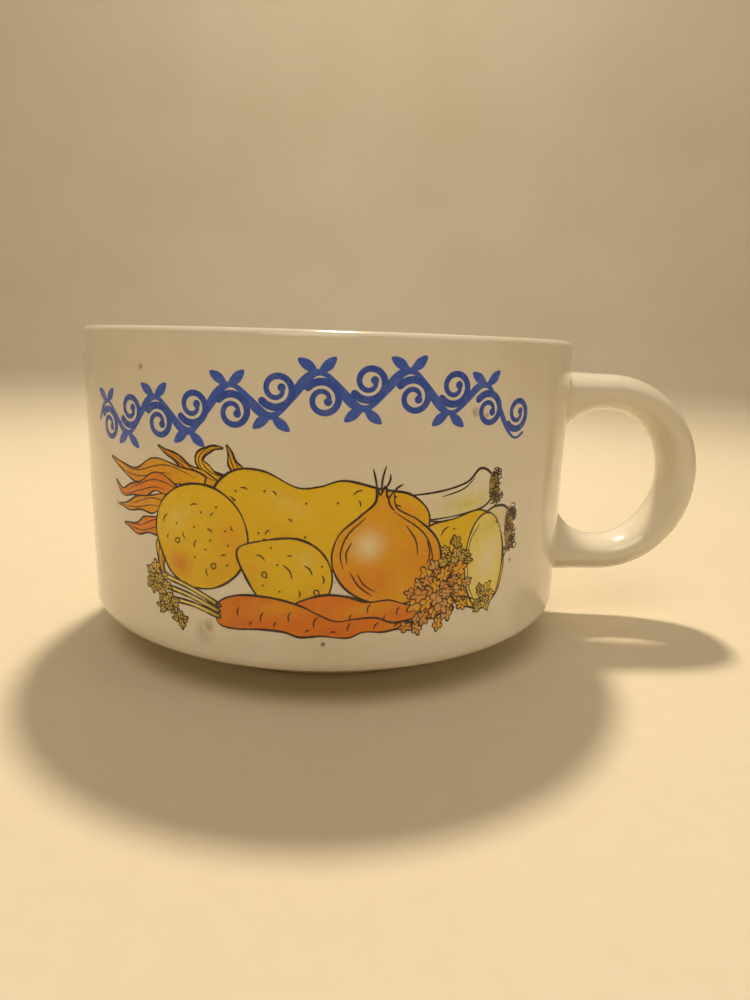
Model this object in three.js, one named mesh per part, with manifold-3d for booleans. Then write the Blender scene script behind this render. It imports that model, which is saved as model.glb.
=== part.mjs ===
// Wide one-handled soup mug in glazed earthenware. A cup and a ring handle are made apart, luted
// together with slip, glazed, and then decorated with two fired-on transfer prints.
// Millimetres, +Z up. The origin is under the middle of the whole mug, on the surface it stands on.
// The cup's axis is parallel to Z, and the handle points along +X.
import * as THREE from 'three';
import { ParametricGeometry } from 'three/addons/geometries/ParametricGeometry.js';
import { mergeVertices } from 'three/addons/utils/BufferGeometryUtils.js';
import Module from 'manifold-3d';

const wasm = await Module();
wasm.setup();

// Cup, measured over the glaze
const RIM_RADIUS = 62.5;
const HEIGHT = 78;
const WALL_THICKNESS = 4;
const WALL_TAPER = 0.2;
const LIP_RADIUS = 1.8;
const FLOOR_HEIGHT = 11;
const FLOOR_CORNER_RADIUS = 12;

// Lower outside corner: a flattened quarter ellipse, then a shallow cone running in to the foot
const CORNER_TOP = 12.6;
const CORNER_REACH = 9;
const CORNER_DROP = 4.6;
const UNDERSIDE_FALL = 1;

// Foot ring and the recess inside it
const FOOT_RADIUS = 43.2;
const FOOT_INNER_RADIUS = 38.6;
const FOOT_FILLET = 2.6;
const FOOT_EDGE_BEVEL = 0.8;
const RECESS_HEIGHT = 6;
const RECESS_FILLET = 1.6;
const GLAZE_LINE_HEIGHT = 1.5;

// Ring handle, measured over the glaze, from the cup's axis: two level arms and half an ellipse
const HANDLE_REACH = 101.4;
const HANDLE_CENTRE_HEIGHT = 42.5;
const HANDLE_RING_REACH = 21.2;
const HANDLE_RING_RISE = 22.6;
const HANDLE_HALF_THICKNESS = 4.8;
const HANDLE_HALF_WIDTH = 8;

// Roots of the handle: its finger hole closes in to an oval, which reaches holeReach back from the
// turn of the handle, and each root is a little wider at the wall. The luted joint ends standOff
// from the wall.
const UPPER_ROOT = { side: 1, holeReach: 16.4, standOff: 2 };
const LOWER_ROOT = { side: -1, holeReach: 14.2, standOff: 2 };
const ROOT_HALF_WIDTH = 9.5;
const ROOT_DEPTH = 5;

// Coats and prints
const GLAZE_THICKNESS = 0.3;
const PRINT_THICKNESS = 0.1;
const SKIN_GAP = 0.05;
const CUT_GAP = 0.3;
const PRINT_AZIMUTH = THREE.MathUtils.degToRad(-87);

// Fineness of the facets
const LATHE_SEGMENTS = 48;
const ARC_DIVISIONS = 2;
const RING_STEPS = 20;
const ARM_STEPS = 5;
const SECTION_SIDES = 16;
const SPLINE_DIVISIONS = 3;

// Worked-out places
const INNER_RADIUS = RIM_RADIUS - WALL_THICKNESS;
const CREST_RADIUS = RIM_RADIUS - WALL_THICKNESS / 2;
const WALL_BASE_RADIUS = RIM_RADIUS - WALL_TAPER;
const BODY_INSET = GLAZE_THICKNESS + SKIN_GAP;
const HANDLE_TURN_X = HANDLE_REACH - HANDLE_RING_REACH - HANDLE_HALF_THICKNESS;
const HOLE_HALF_HEIGHT = HANDLE_RING_RISE - HANDLE_HALF_THICKNESS;
const CUP_AXIS_X = (RIM_RADIUS - HANDLE_REACH) / 2;
const QUARTER = Math.PI / 2;

// ---- Solids ------------------------------------------------------------------------------

// Makes a solid from a closed geometry: shared vertices merged, collapsed triangles dropped.
function toSolid(geometry) {
  geometry.deleteAttribute('normal');
  geometry.deleteAttribute('uv');
  const merged = mergeVertices(geometry);
  const corners = merged.index.array;
  const triangles = [];
  for (let first = 0; first < corners.length; first += 3) {
    const [a, b, c] = corners.slice(first, first + 3);
    if (a !== b && b !== c && c !== a) triangles.push(a, b, c);
  }
  return new wasm.Manifold(new wasm.Mesh({
    numProp: 3,
    vertProperties: new Float32Array(merged.attributes.position.array),
    triVerts: new Uint32Array(triangles),
  }));
}

function toMesh(name, solid, colour, roughness) {
  const { vertProperties, triVerts } = solid.getMesh();
  const geometry = new THREE.BufferGeometry();
  geometry.setAttribute('position', new THREE.BufferAttribute(vertProperties, 3));
  geometry.setIndex(new THREE.BufferAttribute(triVerts, 1));
  geometry.computeVertexNormals();
  const material = new THREE.MeshStandardMaterial({ color: colour, roughness, metalness: 0 });
  const mesh = new THREE.Mesh(geometry, material);
  mesh.name = name;
  return mesh;
}

// Turns an outline of (radius, height) points about the cup's axis. The outline travels so that
// the solid is on its left.
function turned(outline) {
  return toSolid(new THREE.LatheGeometry(outline, LATHE_SEGMENTS).rotateX(QUARTER));
}

// Moves an outline sideways, to the right of its travel. Corners keep their mitres, and the two
// ends move straight along an axis, so that neighbouring coats meet squarely.
function offsetOutline(points, distance) {
  const rightOf = (from, to) => new THREE.Vector2(to.y - from.y, from.x - to.x).normalize();
  const last = points.length - 1;
  return points.map((point, index) => {
    if (index === 0 || index === last) {
      const normal = index === 0 ? rightOf(points[0], points[1]) : rightOf(points[last - 1], points[last]);
      return new THREE.Vector2(Math.round(normal.x), Math.round(normal.y)).multiplyScalar(distance).add(point);
    }
    const arriving = rightOf(points[index - 1], point);
    const leaving = rightOf(point, points[index + 1]);
    const mitre = distance / (1 + arriving.dot(leaving));
    return arriving.add(leaving).multiplyScalar(mitre).add(point);
  });
}

// ---- Cup outlines, over the glaze --------------------------------------------------------

// From the middle of the rim, over the lip, down the wall and under, to the glaze line on the foot.
function outsideOutline() {
  const cornerCentre = WALL_BASE_RADIUS - CORNER_REACH;
  const filletTop = CORNER_TOP - CORNER_DROP - UNDERSIDE_FALL;
  const path = new THREE.Path();
  path.moveTo(CREST_RADIUS + SKIN_GAP / 2, HEIGHT);
  path.lineTo(RIM_RADIUS - LIP_RADIUS, HEIGHT);
  path.absarc(RIM_RADIUS - LIP_RADIUS, HEIGHT - LIP_RADIUS, LIP_RADIUS, QUARTER, 0, true);
  path.lineTo(WALL_BASE_RADIUS, CORNER_TOP);
  path.absellipse(cornerCentre, CORNER_TOP, CORNER_REACH, CORNER_DROP, 0, -QUARTER, true);
  path.lineTo(FOOT_RADIUS + FOOT_FILLET, filletTop);
  path.absarc(FOOT_RADIUS + FOOT_FILLET, filletTop - FOOT_FILLET, FOOT_FILLET, QUARTER, Math.PI, false);
  path.lineTo(FOOT_RADIUS, GLAZE_LINE_HEIGHT);
  return path.getPoints(ARC_DIVISIONS);
}

// From the axis, across the floor, up the wall and over the lip, to the middle of the rim.
function insideOutline() {
  const wallFoot = INNER_RADIUS - WALL_TAPER;
  const path = new THREE.Path();
  path.moveTo(0, FLOOR_HEIGHT);
  path.lineTo(wallFoot - FLOOR_CORNER_RADIUS, FLOOR_HEIGHT);
  path.absarc(wallFoot - FLOOR_CORNER_RADIUS, FLOOR_HEIGHT + FLOOR_CORNER_RADIUS,
    FLOOR_CORNER_RADIUS, -QUARTER, 0, false);
  path.lineTo(INNER_RADIUS, HEIGHT - LIP_RADIUS);
  path.absarc(INNER_RADIUS + LIP_RADIUS, HEIGHT - LIP_RADIUS, LIP_RADIUS, Math.PI, QUARTER, true);
  path.lineTo(CREST_RADIUS - SKIN_GAP / 2, HEIGHT);
  return path.getPoints(ARC_DIVISIONS);
}

// From the glaze line inside the foot ring, up and across the recess, to the axis.
function recessOutline() {
  const path = new THREE.Path();
  path.moveTo(FOOT_INNER_RADIUS, GLAZE_LINE_HEIGHT);
  path.lineTo(FOOT_INNER_RADIUS, RECESS_HEIGHT - RECESS_FILLET);
  path.absarc(FOOT_INNER_RADIUS - RECESS_FILLET, RECESS_HEIGHT - RECESS_FILLET, RECESS_FILLET,
    0, QUARTER, false);
  path.lineTo(0, RECESS_HEIGHT);
  return path.getPoints(ARC_DIVISIONS);
}

// Each coat of glaze lies under its outline, GLAZE_THICKNESS deep.
function insideCoat() {
  const face = insideOutline();
  return turned([...face, ...offsetOutline(face, GLAZE_THICKNESS).reverse()].reverse());
}

function recessCoat() {
  const face = recessOutline();
  return turned([...offsetOutline(face, GLAZE_THICKNESS).reverse(), ...face].reverse());
}

// The bare clay cup: everything under the coats, with an unglazed edge on its foot ring.
function clayCup() {
  const bareOuter = FOOT_RADIUS - BODY_INSET;
  const bareInner = FOOT_INNER_RADIUS + BODY_INSET;
  const foot = [
    new THREE.Vector2(bareOuter, FOOT_EDGE_BEVEL),
    new THREE.Vector2(bareOuter - FOOT_EDGE_BEVEL, 0),
    new THREE.Vector2(bareInner + FOOT_EDGE_BEVEL, 0),
    new THREE.Vector2(bareInner, FOOT_EDGE_BEVEL),
  ];
  return turned([
    ...offsetOutline(insideOutline(), BODY_INSET),
    ...offsetOutline(outsideOutline(), BODY_INSET),
    ...foot,
    ...offsetOutline(recessOutline(), BODY_INSET),
  ].reverse());
}

// A full cylinder with the wall's facets, for cutting what is luted or glazed on to the wall.
function wallCutter(clearance) {
  return turned([
    new THREE.Vector2(0, CORNER_TOP),
    new THREE.Vector2(WALL_BASE_RADIUS + clearance, CORNER_TOP),
    new THREE.Vector2(RIM_RADIUS + clearance, HEIGHT),
    new THREE.Vector2(0, HEIGHT),
  ]);
}

// ---- Handle and its joints ---------------------------------------------------------------

// A section of one of the handle's level arms. Inside the wall it stays as it is at the wall.
function armSection(root, x) {
  const toTurn = HANDLE_TURN_X - Math.max(x, RIM_RADIUS);
  const holeShare = toTurn / root.holeReach;
  const spread = (toTurn / (HANDLE_TURN_X - RIM_RADIUS)) ** 2;
  return {
    centre: new THREE.Vector3(x, 0, HANDLE_CENTRE_HEIGHT + root.side * HANDLE_RING_RISE),
    outward: new THREE.Vector3(0, 0, root.side),
    innerThickness: HANDLE_HALF_THICKNESS + HOLE_HALF_HEIGHT * (1 - Math.sqrt(1 - holeShare ** 2)),
    halfWidth: THREE.MathUtils.lerp(HANDLE_HALF_WIDTH, ROOT_HALF_WIDTH, spread),
  };
}

// A section of the half ring, at an angle from its top.
function ringSection(angle) {
  const across = Math.sin(angle);
  const up = Math.cos(angle);
  return {
    centre: new THREE.Vector3(
      HANDLE_TURN_X + HANDLE_RING_REACH * across,
      0,
      HANDLE_CENTRE_HEIGHT + HANDLE_RING_RISE * up,
    ),
    outward: new THREE.Vector3(across / HANDLE_RING_REACH, 0, up / HANDLE_RING_RISE).normalize(),
    innerThickness: HANDLE_HALF_THICKNESS,
    halfWidth: HANDLE_HALF_WIDTH,
  };
}

// Evenly spaced values, both ends among them.
function spaced(from, to, steps) {
  return Array.from({ length: steps + 1 }, (_, step) => THREE.MathUtils.lerp(from, to, step / steps));
}

// A root between the inside of the wall and the crease, less endShift, in the order of travel down
// the handle.
function rootSections(root, endShift) {
  const sections = [RIM_RADIUS - ROOT_DEPTH, RIM_RADIUS, RIM_RADIUS + root.standOff - endShift]
    .map((x) => armSection(root, x));
  return root === UPPER_ROOT ? sections : sections.reverse();
}

// The handle from crease to crease, each end moved out by endShift.
function handleSections(endShift) {
  const arm = (root) => spaced(RIM_RADIUS + root.standOff + endShift, HANDLE_TURN_X, ARM_STEPS)
    .slice(0, -1)
    .map((x) => armSection(root, x));
  return [
    ...arm(UPPER_ROOT),
    ...spaced(0, Math.PI, RING_STEPS).map(ringSection),
    ...arm(LOWER_ROOT).reverse(),
  ];
}

// Skins a row of egg-shaped sections, grown evenly, and closes both ends flat.
function skinned(sections, growth) {
  const rows = sections.length + 1;
  const surface = (around, along, point) => {
    const row = Math.round(along * rows);
    const section = sections[THREE.MathUtils.clamp(row - 1, 0, sections.length - 1)];
    point.copy(section.centre);
    if (row === 0 || row === rows) return;
    const angle = around * 2 * Math.PI;
    const thickness = Math.cos(angle) > 0 ? HANDLE_HALF_THICKNESS : section.innerThickness;
    point.addScaledVector(section.outward, (thickness + growth) * Math.cos(angle));
    point.y -= (section.halfWidth + growth) * Math.sin(angle);
  };
  return toSolid(new ParametricGeometry(surface, SECTION_SIDES, rows));
}

// The clay of a joint: the root, less a gap to the handle and another to the cup.
function lutedJoint(root) {
  return skinned(rootSections(root, CUT_GAP / 2), -BODY_INSET)
    .subtract(wallCutter(CUT_GAP - BODY_INSET));
}

// The handle and both roots as one form.
function wholeHandle(growth) {
  return skinned([
    ...rootSections(UPPER_ROOT, 0).slice(0, -1),
    ...handleSections(0),
    ...rootSections(LOWER_ROOT, 0).slice(1),
  ], growth);
}

function handleCoat() {
  return wholeHandle(0)
    .subtract(wholeHandle(-GLAZE_THICKNESS))
    .subtract(wallCutter(2 * SKIN_GAP));
}

function outsideCoat() {
  const face = outsideOutline();
  return turned([face[0], ...offsetOutline(face, GLAZE_THICKNESS), ...face.reverse()])
    .subtract(wholeHandle(CUT_GAP - BODY_INSET));
}

// ---- Prints ------------------------------------------------------------------------------

// Each outline is (arc length round the wall, height), from the middle of the print.
const SCROLL_OUTLINE = [
  [-63, 56], [-60, 66], [-46, 70], [-24, 71.5], [0, 74], [20, 74.3], [38, 70], [48, 63], [46, 54],
  [36, 58.5], [24, 62.5], [10, 62], [3, 52.5], [-3, 61], [-12, 67.5], [-20, 68.5], [-27, 65.5],
  [-31, 54], [-36, 50], [-50, 50],
];
const HARVEST_OUTLINE = [
  [-54, 36], [-51, 46.5], [-36, 46.5], [-29, 50], [-26, 57], [-21.5, 64.5], [-18.5, 64.5],
  [-13, 61], [-7, 57.5], [-2, 52], [3, 49], [8, 53], [12, 58.5], [26, 59], [36, 55], [42, 50],
  [39, 41], [43, 34], [33, 24], [20, 21], [-4, 19], [-24, 19], [-34, 21], [-49, 26],
];

// A thin film on the glazed wall, inside an outline drawn on the wall.
function printedFilm(outline) {
  const corners = outline.map(([arc, height]) => (
    new THREE.Vector2(RIM_RADIUS * Math.sin(arc / RIM_RADIUS), height)
  ));
  const shape = new THREE.Shape();
  shape.moveTo(corners[0].x, corners[0].y);
  shape.splineThru([...corners.slice(1), corners[0]]);
  const mask = new THREE.ExtrudeGeometry(shape, {
    depth: HANDLE_REACH,
    bevelEnabled: false,
    curveSegments: SPLINE_DIVISIONS,
  });
  const outward = new THREE.Vector3(Math.cos(PRINT_AZIMUTH), Math.sin(PRINT_AZIMUTH), 0);
  const up = new THREE.Vector3(0, 0, 1);
  const along = new THREE.Vector3().crossVectors(up, outward);
  mask.applyMatrix4(new THREE.Matrix4().makeBasis(along, up, outward));
  return wallCutter(SKIN_GAP + PRINT_THICKNESS).subtract(wallCutter(SKIN_GAP)).intersect(toSolid(mask));
}

// ---- Assembly ----------------------------------------------------------------------------

const CLAY = '#d8c8a8';
const SLIP = '#dccdb0';
const GLAZE = '#efe8d6';
const BLUE_PRINT = '#2f57a6';
const HARVEST_PRINT = '#e0a01c';

const cup = new THREE.Group();
cup.add(
  toMesh('cup_body', clayCup(), CLAY, 0.85),
  toMesh('outside_glaze', outsideCoat(), GLAZE, 0.15),
  toMesh('inside_glaze', insideCoat(), GLAZE, 0.15),
  toMesh('base_glaze', recessCoat(), GLAZE, 0.2),
);

const handle = new THREE.Group();
handle.add(
  toMesh('handle', skinned(handleSections(CUT_GAP / 2), -BODY_INSET), CLAY, 0.85),
  toMesh('upper_handle_joint', lutedJoint(UPPER_ROOT), SLIP, 0.85),
  toMesh('lower_handle_joint', lutedJoint(LOWER_ROOT), SLIP, 0.85),
  toMesh('handle_glaze', handleCoat(), GLAZE, 0.15),
);

const decoration = new THREE.Group();
decoration.add(
  toMesh('scroll_transfer', printedFilm(SCROLL_OUTLINE), BLUE_PRINT, 0.3),
  toMesh('harvest_transfer', printedFilm(HARVEST_OUTLINE), HARVEST_PRINT, 0.3),
);

const mug = new THREE.Group();
mug.position.x = CUP_AXIS_X;
mug.add(cup, handle, decoration);

export default mug;
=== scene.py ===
import math
import random
from collections import Counter

import bmesh
import bpy
import numpy as np
from mathutils import Matrix, Vector, noise
from mathutils.geometry import delaunay_2d_cdt


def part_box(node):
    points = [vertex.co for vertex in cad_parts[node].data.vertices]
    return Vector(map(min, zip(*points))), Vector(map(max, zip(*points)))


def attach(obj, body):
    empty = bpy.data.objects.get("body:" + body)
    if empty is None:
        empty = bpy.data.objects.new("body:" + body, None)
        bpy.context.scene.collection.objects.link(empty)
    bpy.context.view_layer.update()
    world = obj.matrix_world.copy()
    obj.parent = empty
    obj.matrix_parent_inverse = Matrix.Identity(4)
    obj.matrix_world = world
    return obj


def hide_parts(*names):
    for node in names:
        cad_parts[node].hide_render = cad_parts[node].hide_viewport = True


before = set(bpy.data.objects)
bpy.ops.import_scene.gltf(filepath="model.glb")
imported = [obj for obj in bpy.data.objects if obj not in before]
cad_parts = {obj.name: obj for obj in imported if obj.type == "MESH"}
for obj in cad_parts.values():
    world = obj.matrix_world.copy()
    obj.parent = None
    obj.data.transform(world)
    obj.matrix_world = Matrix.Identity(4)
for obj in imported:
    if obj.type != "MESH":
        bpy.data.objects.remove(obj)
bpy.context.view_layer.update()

MM = 0.001
QUARTER = math.pi / 2


def box_mm(node):
    low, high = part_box(node)
    return Vector(low) / MM, Vector(high) / MM


# ---- Places and sizes, from the frame ----

GLAZE = 0.3  # thickness of a coat
INSET = 0.35  # from the glazed surface to the clay

outside_low, outside_high = box_mm("outside_glaze")
AXIS_X = (outside_low.x + outside_high.x) / 2
RIM_RADIUS = (outside_high.y - outside_low.y) / 2
HEIGHT = outside_high.z
GLAZE_LINE = outside_low.z
FLOOR = box_mm("inside_glaze")[0].z + GLAZE
recess_low, recess_high = box_mm("base_glaze")
RECESS = recess_high.z - GLAZE
FOOT_INNER_RADIUS = (recess_high.y - recess_low.y) / 2 - GLAZE

WALL = 4.0
TAPER = 0.2
LIP = 1.8
FLOOR_CORNER = 12.0
CORNER_TOP = 12.6
CORNER_REACH = 9.0
CORNER_DROP = 4.6
UNDERSIDE_FALL = 1.0
FOOT_RADIUS = FOOT_INNER_RADIUS + 4.6
FOOT_FILLET = 2.6
FOOT_BEVEL = 0.8
RECESS_FILLET = 1.6
CREST = RIM_RADIUS - WALL / 2

handle_low, handle_high = box_mm("handle")
HANDLE_REACH = box_mm("handle_glaze")[1].x - AXIS_X
HALF_THICKNESS = 4.8
HALF_WIDTH = 8.0
ROOT_HALF_WIDTH = 9.5
RING_REACH = 21.2
RING_RISE = (handle_high.z - handle_low.z) / 2 + INSET - HALF_THICKNESS
HANDLE_CENTRE = (handle_low.z + handle_high.z) / 2
HANDLE_TURN = HANDLE_REACH - RING_REACH - HALF_THICKNESS
HOLE_HALF_HEIGHT = RING_RISE - HALF_THICKNESS
UPPER_HOLE_REACH = 16.4
LOWER_HOLE_REACH = 14.2

PRINT_AZIMUTH = math.radians(-87)
LATHE_SEGMENTS = 320

MEAN_SINK = 0.075  # how far the cup's real surface lies under its true form on average
WIDE_SWELL = 0.06
CLOSE_SWELL = 0.014
HANDLE_SWELL = 0.05


# ---- Materials ----


class Shader:
    """A Principled material put together node by node."""

    def __init__(self, name, **sockets):
        self.material = bpy.data.materials.new(name)
        self.material.use_nodes = True
        self.tree = self.material.node_tree
        self.bsdf = self.tree.nodes["Principled BSDF"]
        for socket, value in sockets.items():
            self.bsdf.inputs[socket.replace("_", " ")].default_value = value
        self.place = self.add("ShaderNodeTexCoord").outputs["Object"]

    def add(self, kind, inputs=None, **settings):
        node = self.tree.nodes.new(kind)
        for key, value in settings.items():
            setattr(node, key, value)
        for key, value in (inputs or {}).items():
            if isinstance(value, bpy.types.NodeSocket):
                self.tree.links.new(value, node.inputs[key])
            else:
                node.inputs[key].default_value = value
        return node

    def noise(self, scale, detail=3.0, roughness=0.5, distortion=0.0):
        node = self.add("ShaderNodeTexNoise", {
            "Vector": self.place, "Scale": scale, "Detail": detail,
            "Roughness": roughness, "Distortion": distortion,
        })
        return node.outputs["Fac"]

    def ramp(self, value, stops):
        node = self.add("ShaderNodeValToRGB", {"Fac": value})
        elements = node.color_ramp.elements
        while len(elements) < len(stops):
            elements.new(0.5)
        for element, (position, colour) in zip(elements, stops):
            element.position = position
            element.color = (*colour, 1.0)
        return node.outputs["Color"]

    def span(self, value, low, high, to_low, to_high):
        node = self.add("ShaderNodeMapRange", {
            "Value": value, "From Min": low, "From Max": high, "To Min": to_low, "To Max": to_high,
        })
        return node.outputs["Result"]

    def mix(self, factor, a, b, blend="MIX"):
        node = self.add("ShaderNodeMix", data_type="RGBA", blend_type=blend)
        for key, value in ((0, factor), (6, a), (7, b)):
            if isinstance(value, bpy.types.NodeSocket):
                self.tree.links.new(value, node.inputs[key])
            else:
                node.inputs[key].default_value = value if key == 0 else (*value, 1.0)
        return node.outputs[2]

    def multiply(self, a, b):
        return self.add("ShaderNodeMath", {0: a, 1: b}, operation="MULTIPLY").outputs[0]

    def maximum(self, a, b):
        return self.add("ShaderNodeMath", {0: a, 1: b}, operation="MAXIMUM").outputs[0]

    def specks(self, scale, radius, share):
        """Sparse round dots: 1 inside a dot. share is the part of the cells that hold one."""
        cells = self.add("ShaderNodeTexVoronoi", {"Vector": self.place, "Scale": scale})
        dot = self.span(cells.outputs["Distance"], radius, radius * 0.5, 0.0, 1.0)
        pick = self.add("ShaderNodeSeparateColor", {"Color": cells.outputs["Color"]}).outputs["Red"]
        chosen = self.add("ShaderNodeMath", {0: pick, 1: share}, operation="LESS_THAN").outputs[0]
        return self.multiply(dot, chosen)

    def bump(self, height, distance, strength=1.0):
        node = self.add("ShaderNodeBump", {"Height": height, "Strength": strength, "Distance": distance})
        self.tree.links.new(node.outputs["Normal"], self.bsdf.inputs["Normal"])

    def feed(self, socket, value):
        self.tree.links.new(value, self.bsdf.inputs[socket])


def linear(code):
    """Linear colour of an sRGB hex code."""
    channels = [int(code[i:i + 2], 16) / 255 for i in (1, 3, 5)]
    return np.array([c / 12.92 if c <= 0.04045 else ((c + 0.055) / 1.055) ** 2.4 for c in channels])


# Marks on the wall: round from the middle of the print, up, size, depth of colour, colour.
STAINS = (
    (-26.2, 16.9, 3.2, 0.42, "#8f6f42"),
    (-25.2, 18.6, 1.6, 0.5, "#7a5a34"),
    (-1.0, 16.6, 0.7, 0.9, "#5b4428"),
    (-41.0, 70.0, 0.9, 0.7, "#7d6848"),
    (29.6, 63.2, 1.3, 0.6, "#5f5444"),
    (32.4, 62.4, 0.9, 0.6, "#5f5444"),
    (43.0, 30.5, 0.7, 0.7, "#6b5232"),
    (-52.0, 40.5, 0.6, 0.7, "#6b5232"),
)


def stained(shader, body):
    """The wall's few marks of use, ragged at their edges."""
    ragged = shader.span(shader.noise(900.0, detail=4.0, roughness=0.7), 0.35, 0.6, 0.35, 1.0)
    for along, height, size, depth, colour in STAINS:
        spot = Vector(wall_point(along, height, 0.0)) * MM
        away = shader.add("ShaderNodeVectorMath", {0: shader.place, 1: spot}, operation="DISTANCE")
        mark = shader.span(away.outputs["Value"], size * MM, size * MM * 0.25, 0.0, depth)
        body = shader.mix(shader.multiply(mark, ragged), body, linear(colour))
    return body


def glaze_material(name, tone, stain_share):
    """Cream-white glaze: cloudy colour, pinholes and iron specks, a faint orange-peel surface."""
    shader = Shader(name, Coat_Weight=0.35, Coat_Roughness=0.05, Specular_IOR_Level=0.5)
    cloud = shader.noise(22.0, detail=4.0, distortion=0.4)
    body = shader.ramp(cloud, [
        (0.25, tone * np.array([0.93, 0.90, 0.84])),
        (0.55, tone),
        (0.80, tone * np.array([1.02, 1.02, 1.03])),
    ])
    fine = shader.noise(260.0, detail=2.0)
    body = shader.mix(shader.span(fine, 0.45, 0.75, 0.0, 0.06), body, tone * 0.72)
    iron = shader.specks(150.0, 0.055, stain_share)
    pinholes = shader.specks(330.0, 0.09, stain_share * 1.6)
    rust = shader.multiply(iron, shader.span(cloud, 0.3, 0.7, 0.9, 0.5))
    body = shader.mix(rust, body, linear("#6b4a26"))
    dirt = shader.multiply(pinholes, shader.span(fine, 0.3, 0.7, 0.25, 0.55))
    body = shader.mix(dirt, body, linear("#8c7048"))
    shader.feed("Base Color", stained(shader, body))
    wipe = shader.noise(55.0, detail=5.0, roughness=0.6)
    shader.feed("Roughness", shader.maximum(
        shader.span(wipe, 0.35, 0.75, 0.10, 0.22),
        shader.multiply(pinholes, shader.span(fine, 0.0, 1.0, 0.5, 0.6)),
    ))
    peel = shader.noise(190.0, detail=1.0)
    pits = shader.span(pinholes, 0.0, 1.0, 1.0, 0.0)
    shader.bump(shader.multiply(peel, pits), distance=0.00006, strength=0.6)
    return shader.material


def clay_material(name, tone):
    """Bare fired clay: buff, grainy and matte, greyed where it rubs on a shelf."""
    shader = Shader(name, Specular_IOR_Level=0.3)
    grain = shader.noise(1400.0, detail=4.0, roughness=0.7)
    patch = shader.noise(70.0, detail=5.0)
    body = shader.ramp(grain, [(0.3, tone * 0.78), (0.55, tone), (0.8, tone * 1.12)])
    body = shader.mix(shader.span(patch, 0.5, 0.75, 0.0, 0.55), body, linear("#8f8273"))
    grit = shader.specks(900.0, 0.2, 0.12)
    shader.feed("Base Color", shader.mix(shader.multiply(grit, grain), body, linear("#5a4632")))
    shader.feed("Roughness", shader.span(patch, 0.3, 0.7, 0.92, 0.74))
    shader.bump(grain, distance=0.00012, strength=0.8)
    return shader.material


def enamel_material(name):
    """Fired enamel: each point's own colour, thinner and lighter in places, glossy."""
    shader = Shader(name, Coat_Weight=0.15, Coat_Roughness=0.08, Specular_IOR_Level=0.4)
    tint = shader.add("ShaderNodeAttribute", attribute_name="tint").outputs["Color"]
    thin = shader.noise(420.0, detail=4.0, roughness=0.65)
    body = shader.mix(shader.span(thin, 0.5, 0.8, 0.0, 0.07), tint, linear("#f2e6c4"))
    dense = shader.noise(90.0, detail=3.0)
    body = shader.mix(shader.span(dense, 0.5, 0.8, 0.0, 0.14), body, linear("#c4b088"), blend="MULTIPLY")
    shader.feed("Base Color", body)
    shader.feed("Roughness", shader.span(thin, 0.3, 0.7, 0.18, 0.34))
    shader.bump(thin, distance=0.00003, strength=0.5)
    return shader.material


def floor_material():
    shader = Shader("pale_floor", Specular_IOR_Level=0.25)
    fibre = shader.noise(180.0, detail=6.0, roughness=0.6)
    cloud = shader.noise(3.0, detail=3.0)
    body = shader.ramp(cloud, [(0.3, linear("#e6dac3")), (0.7, linear("#ece1cc"))])
    shader.feed("Base Color", shader.mix(shader.span(fibre, 0.4, 0.8, 0.0, 0.10), body, linear("#c9b99d")))
    shader.feed("Roughness", shader.span(fibre, 0.3, 0.7, 0.6, 0.75))
    shader.bump(fibre, distance=0.0001, strength=0.3)
    return shader.material


# ---- Meshes ----


def round_angles(count):
    return np.linspace(0, 2 * math.pi, count, endpoint=False)


def make_piece(name, points, faces, material, slot, *nodes):
    """A smooth-shaded piece on the root body, from points in millimetres."""
    mesh = bpy.data.meshes.new(name)
    mesh.from_pydata([tuple(c * MM for c in point) for point in points], [], faces)
    tidy = bmesh.new()
    tidy.from_mesh(mesh)
    bmesh.ops.recalc_face_normals(tidy, faces=tidy.faces)
    tidy.to_mesh(mesh)
    tidy.free()
    mesh.shade_smooth()
    mesh.set_sharp_from_angle(angle=math.radians(50))
    mesh.materials.append(material)
    piece = bpy.data.objects.new(name, mesh)
    bpy.context.scene.collection.objects.link(piece)
    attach(piece, "root")
    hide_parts(*nodes)
    return piece


def unevenness(x, y, z):
    """How far the cup's surface lies under its true form here: the throwing is a little uneven."""
    wide = noise.noise(Vector((x / 38, y / 38, z / 30)))
    close = noise.noise(Vector((x / 11, y / 11, z / 8 + 40)))
    return WIDE_SWELL * wide + CLOSE_SWELL * close - MEAN_SINK


def arc(centre_r, centre_z, reach, rise, start, end, steps):
    """Points on a quarter ellipse, or any part of one, with its ends."""
    return [
        (centre_r + reach * math.cos(a), centre_z + rise * math.sin(a))
        for a in np.linspace(start, end, steps + 1)
    ]


def straight(start, end, steps):
    return [tuple(p) for p in np.linspace(start, end, steps + 1)[1:-1]]


def outside_outline():
    """Glazed surface from the middle of the rim, over the lip, down and under to the glaze line."""
    base_radius = RIM_RADIUS - TAPER
    fillet_top = CORNER_TOP - CORNER_DROP - UNDERSIDE_FALL
    lip = arc(RIM_RADIUS - LIP, HEIGHT - LIP, LIP, LIP, QUARTER, 0, 12)
    corner = arc(base_radius - CORNER_REACH, CORNER_TOP, CORNER_REACH, CORNER_DROP, 0, -QUARTER, 20)
    fillet = arc(FOOT_RADIUS + FOOT_FILLET, fillet_top - FOOT_FILLET, FOOT_FILLET, FOOT_FILLET,
                 QUARTER, math.pi, 10)
    return [
        (CREST, HEIGHT), *lip, *straight(lip[-1], corner[0], 24), *corner, *fillet,
        (FOOT_RADIUS, GLAZE_LINE),
    ]


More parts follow.
